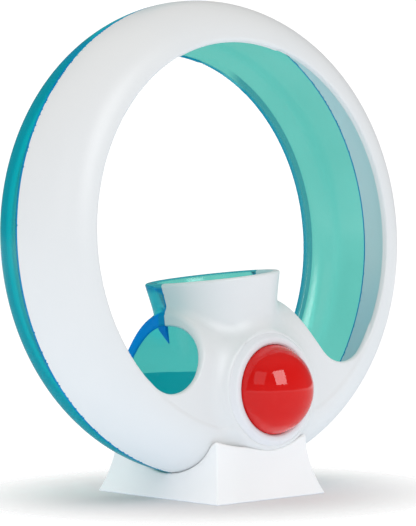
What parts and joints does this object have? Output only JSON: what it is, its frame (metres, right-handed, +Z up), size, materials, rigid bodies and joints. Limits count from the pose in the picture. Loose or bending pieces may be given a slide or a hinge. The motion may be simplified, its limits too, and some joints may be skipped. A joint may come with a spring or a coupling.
{
  "type": "hand-held ball-loop puzzle toy",
  "caption": "Hand-held loop puzzle: open-channel ring whose track carries a ball through a tunnel with a catching cup and a window, resting in a small display stand.",
  "frame": {"origin": "middle of the stand's base, on the floor", "axes": "+X to the right seen from the window side, +Y to the back, +Z up"},
  "size_m": [0.132, 0.0574, 0.1364],
  "materials": {
    "stand_plastic": "fine matte moulded white",
    "white_shell": "satin off-white, slightly translucent",
    "teal_shell": "clear tinted, polished",
    "soft_collar": "soft satin white elastomer",
    "red_ball": "polished"
  },
  "bodies": {
    "stand": {"stand": "stand_plastic"},
    "toy": {"front_shell": "white_shell", "back_shell": "teal_shell", "ball_collar": "soft_collar"},
    "ball": {"ball": "red_ball"}
  },
  "joints": [
    {"name": "lift_off", "type": "slide", "parent": "stand", "child": "toy", "axis": [0, 0, 1], "range_m": [0, 0.03]},
    {"name": "ball_push", "type": "slide", "parent": "toy", "child": "ball", "axis": [0.0322, 0.9165, -0.3988], "range_m": [0, 0.01931]}
  ]
}
